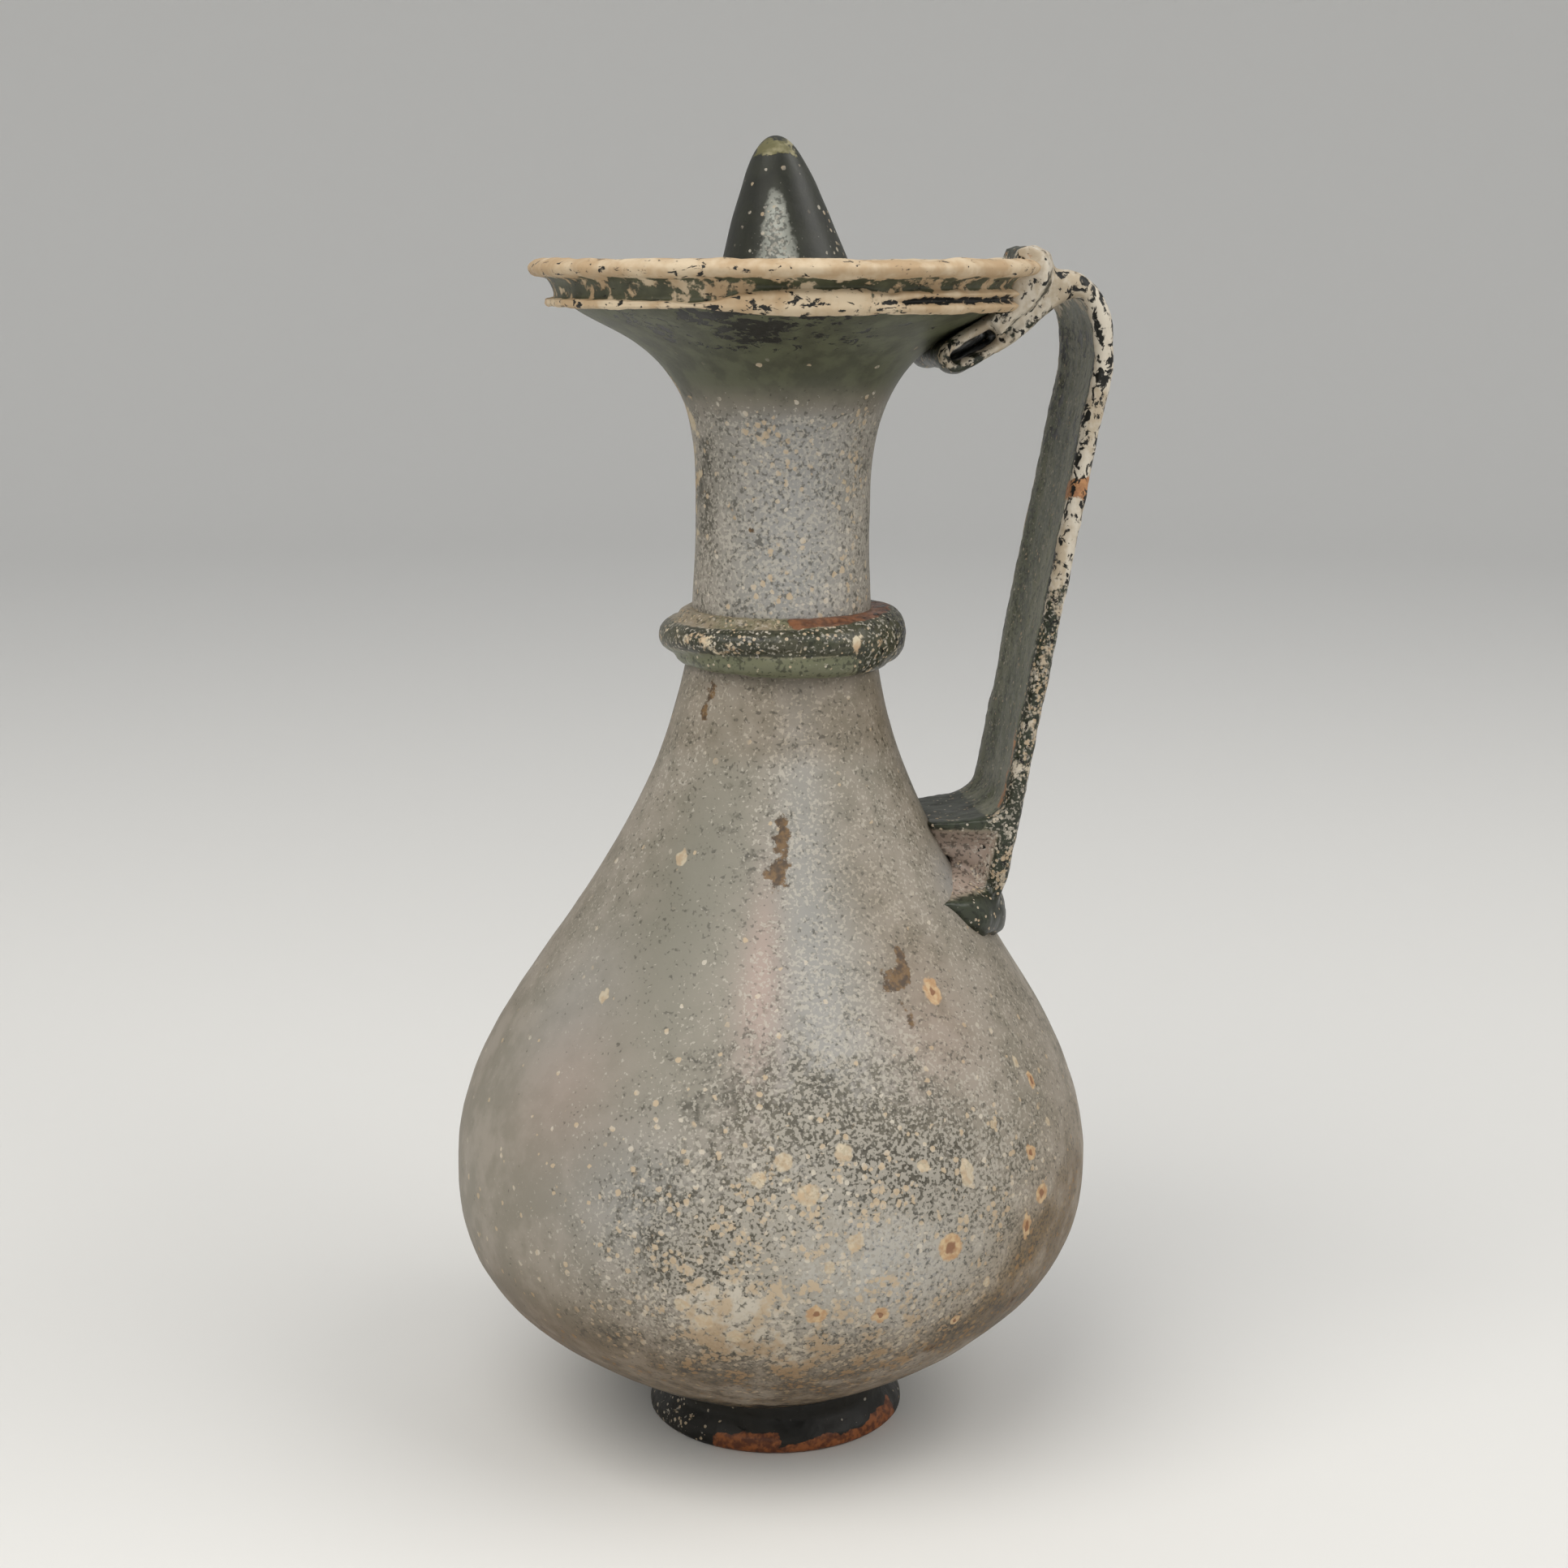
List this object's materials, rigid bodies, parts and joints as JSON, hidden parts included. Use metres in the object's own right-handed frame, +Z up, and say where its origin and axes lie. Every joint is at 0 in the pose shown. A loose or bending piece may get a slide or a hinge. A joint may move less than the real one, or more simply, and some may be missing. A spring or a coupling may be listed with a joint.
{
  "type": "ancient glass jug with lid",
  "caption": "Blown glass jug with a pear-shaped body, funnel mouth, wound neck trail, folded strap handle, ring foot and loose conical lid.",
  "frame": {"origin": "middle of the jug's bounding box, on the surface that the foot ring stands on", "axes": "+Z up along the jug's height, +X from the axis towards the handle, -Y towards the side that the picture shows"},
  "size_m": [0.1262, 0.1252, 0.2525],
  "materials": {
    "body_glass": "weathered, frosted grey-green with cream and tan crust",
    "trail_glass": "weathered dark green with white specks",
    "handle_glass": "weathered dark green with a flaking creamy crust",
    "foot_glass": "near black, pitted, with rust-coloured soil crust",
    "lid_glass": "dark olive, glossy, partly frosted"
  },
  "bodies": {
    "root": {"vessel": "body_glass", "neck_collar": "trail_glass", "handle": "handle_glass", "foot_ring": "foot_glass", "lid": "lid_glass"}
  },
  "joints": []
}
